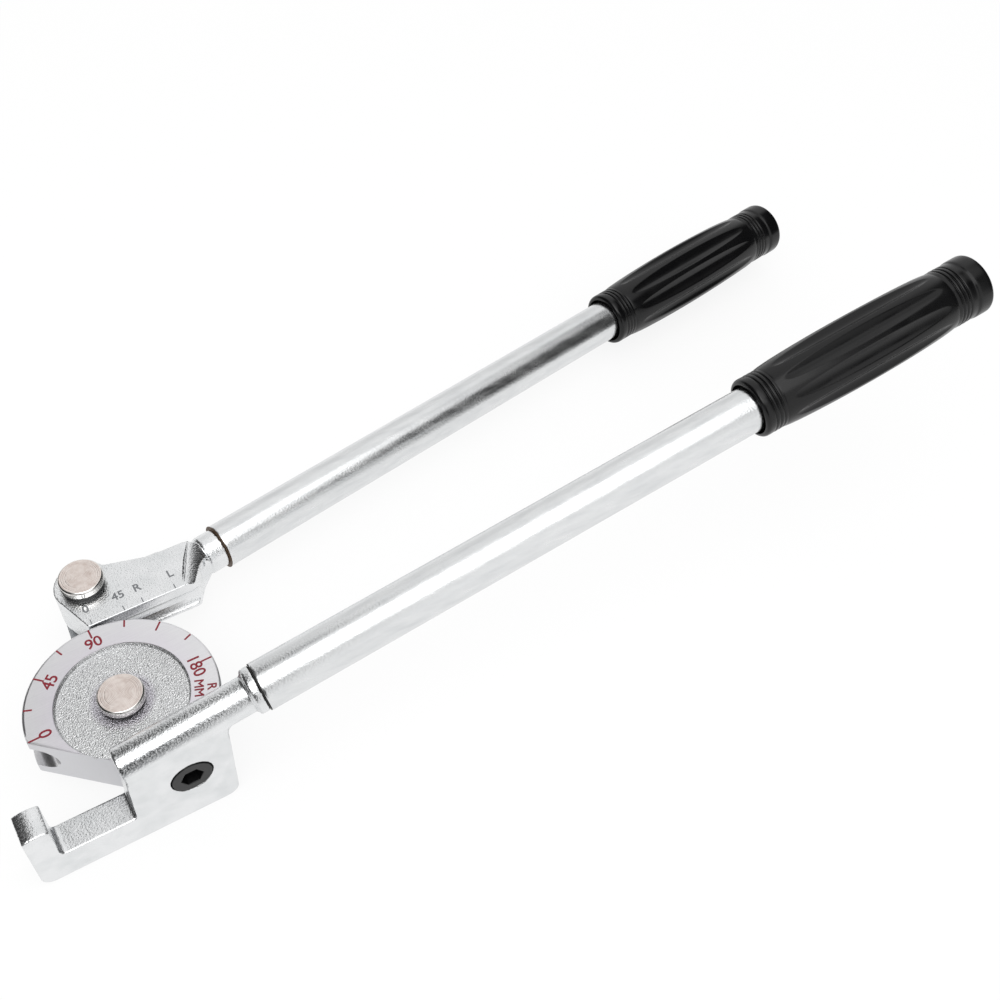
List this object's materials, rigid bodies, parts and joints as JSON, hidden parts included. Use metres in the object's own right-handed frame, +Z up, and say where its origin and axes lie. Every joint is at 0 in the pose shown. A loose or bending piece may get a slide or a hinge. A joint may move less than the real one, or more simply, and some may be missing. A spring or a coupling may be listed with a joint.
{
  "type": "tube bender",
  "caption": "Lever tube bender with a marked forming wheel, a hooked body, a swinging shoe lever and two long handles with black grips.",
  "frame": {"origin": "on the forming wheel's axis, level with its dial rim: the centre of every bend", "axes": "+Z up along the wheel's axis, out of the dial; +X from the hook towards the fixed handle, along the hook body; +Y from the hook body towards the lever"},
  "size_m": [0.4682, 0.1806, 0.1172],
  "materials": {
    "plated_forging": "bright plating on forged steel, fine pebbled",
    "dial_steel": "brushed rim with a grainy recess",
    "plated_tube": "bright plating on drawn tube",
    "plated_link": "bright plating on flat steel",
    "pin_steel": "turned top, warm tone",
    "plain_steel": "plain zinc plated",
    "dark_washer": "dark phosphated",
    "black_screw": "black oxide",
    "brazed_seam": "dark brazed seam",
    "black_grip": "glossy moulded black"
  },
  "bodies": {
    "frame": {"hook_body": "plated_forging", "forming_wheel": "dial_steel", "wheel_screw": "black_screw", "wheel_dowels": "plain_steel", "centre_pin": "pin_steel", "centre_top_washer": "dark_washer", "centre_thrust_washer": "plain_steel", "centre_washer": "plain_steel", "centre_retaining_ring": "plain_steel", "fixed_seam": "brazed_seam", "fixed_tube": "plated_tube", "fixed_grip": "black_grip"},
    "link": {"link_plate": "plated_link", "lever_pin": "pin_steel", "lever_top_washer": "dark_washer", "lever_spacer": "plain_steel", "lever_washer": "plain_steel", "lever_retaining_ring": "plain_steel"},
    "lever": {"lever_head": "plated_forging", "lever_seam": "brazed_seam", "lever_tube": "plated_tube", "lever_grip": "black_grip"}
  },
  "joints": [
    {"name": "link_swing", "type": "hinge", "parent": "frame", "child": "link", "pos_m": [0, 0, -0.0252], "axis": [0, 0, 1], "range_deg": [-90, 90]},
    {"name": "lever_swing", "type": "hinge", "parent": "link", "child": "lever", "pos_m": [0.0053, 0.0605, -0.00925], "axis": [0, 0, 1], "range_deg": [0, 120]}
  ]
}
